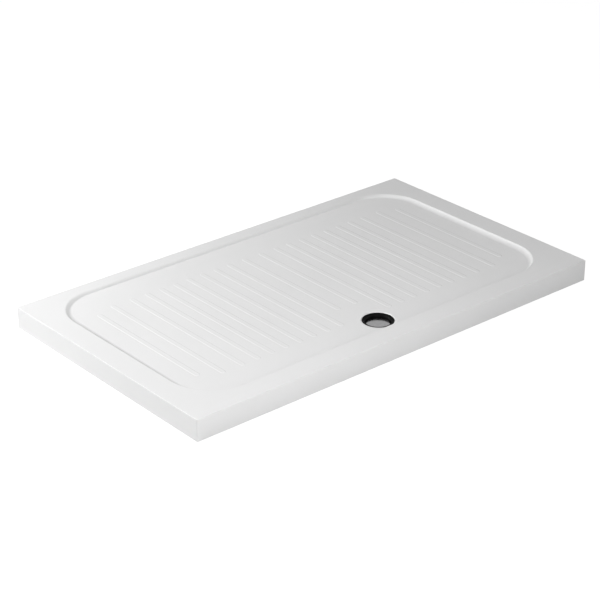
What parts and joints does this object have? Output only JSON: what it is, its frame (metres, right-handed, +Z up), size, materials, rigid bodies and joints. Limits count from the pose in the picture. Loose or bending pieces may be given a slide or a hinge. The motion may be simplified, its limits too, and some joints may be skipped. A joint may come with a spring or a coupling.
{
  "type": "shower tray",
  "caption": "Low rectangular ceramic shower tray with a round-cornered recess, raised anti-slip ribs and a recessed drain with a lift-out cap and strainer.",
  "frame": {"origin": "centre of the tray's base, on the floor it stands on", "axes": "+X along the long side, +Y from the drain side to the opposite long side, +Z up"},
  "size_m": [1.4, 0.8, 0.062],
  "materials": {
    "ceramic_glaze": "glossy white glaze",
    "black_abs": "smooth moulded",
    "chrome_plate": "polished",
    "grey_rubber": "matt",
    "steel_screw": "plain"
  },
  "bodies": {
    "tray": {"tray_body": "ceramic_glaze", "waste_flange": "black_abs", "flange_gasket": "grey_rubber", "under_gasket": "grey_rubber", "waste_bowl": "black_abs", "outlet_seal": "grey_rubber", "outlet_nut": "black_abs"},
    "strainer_unit": {"strainer": "black_abs"},
    "cover_unit": {"drain_cover": "chrome_plate", "cover_stem": "black_abs", "cover_screw": "steel_screw"}
  },
  "joints": [
    {"name": "strainer_lift", "type": "slide", "parent": "tray", "child": "strainer_unit", "axis": [0, 0, 1], "range_m": [0, 0.06]},
    {"name": "cover_lift", "type": "slide", "parent": "strainer_unit", "child": "cover_unit", "axis": [0, 0, 1], "range_m": [0, 0.03]}
  ]
}
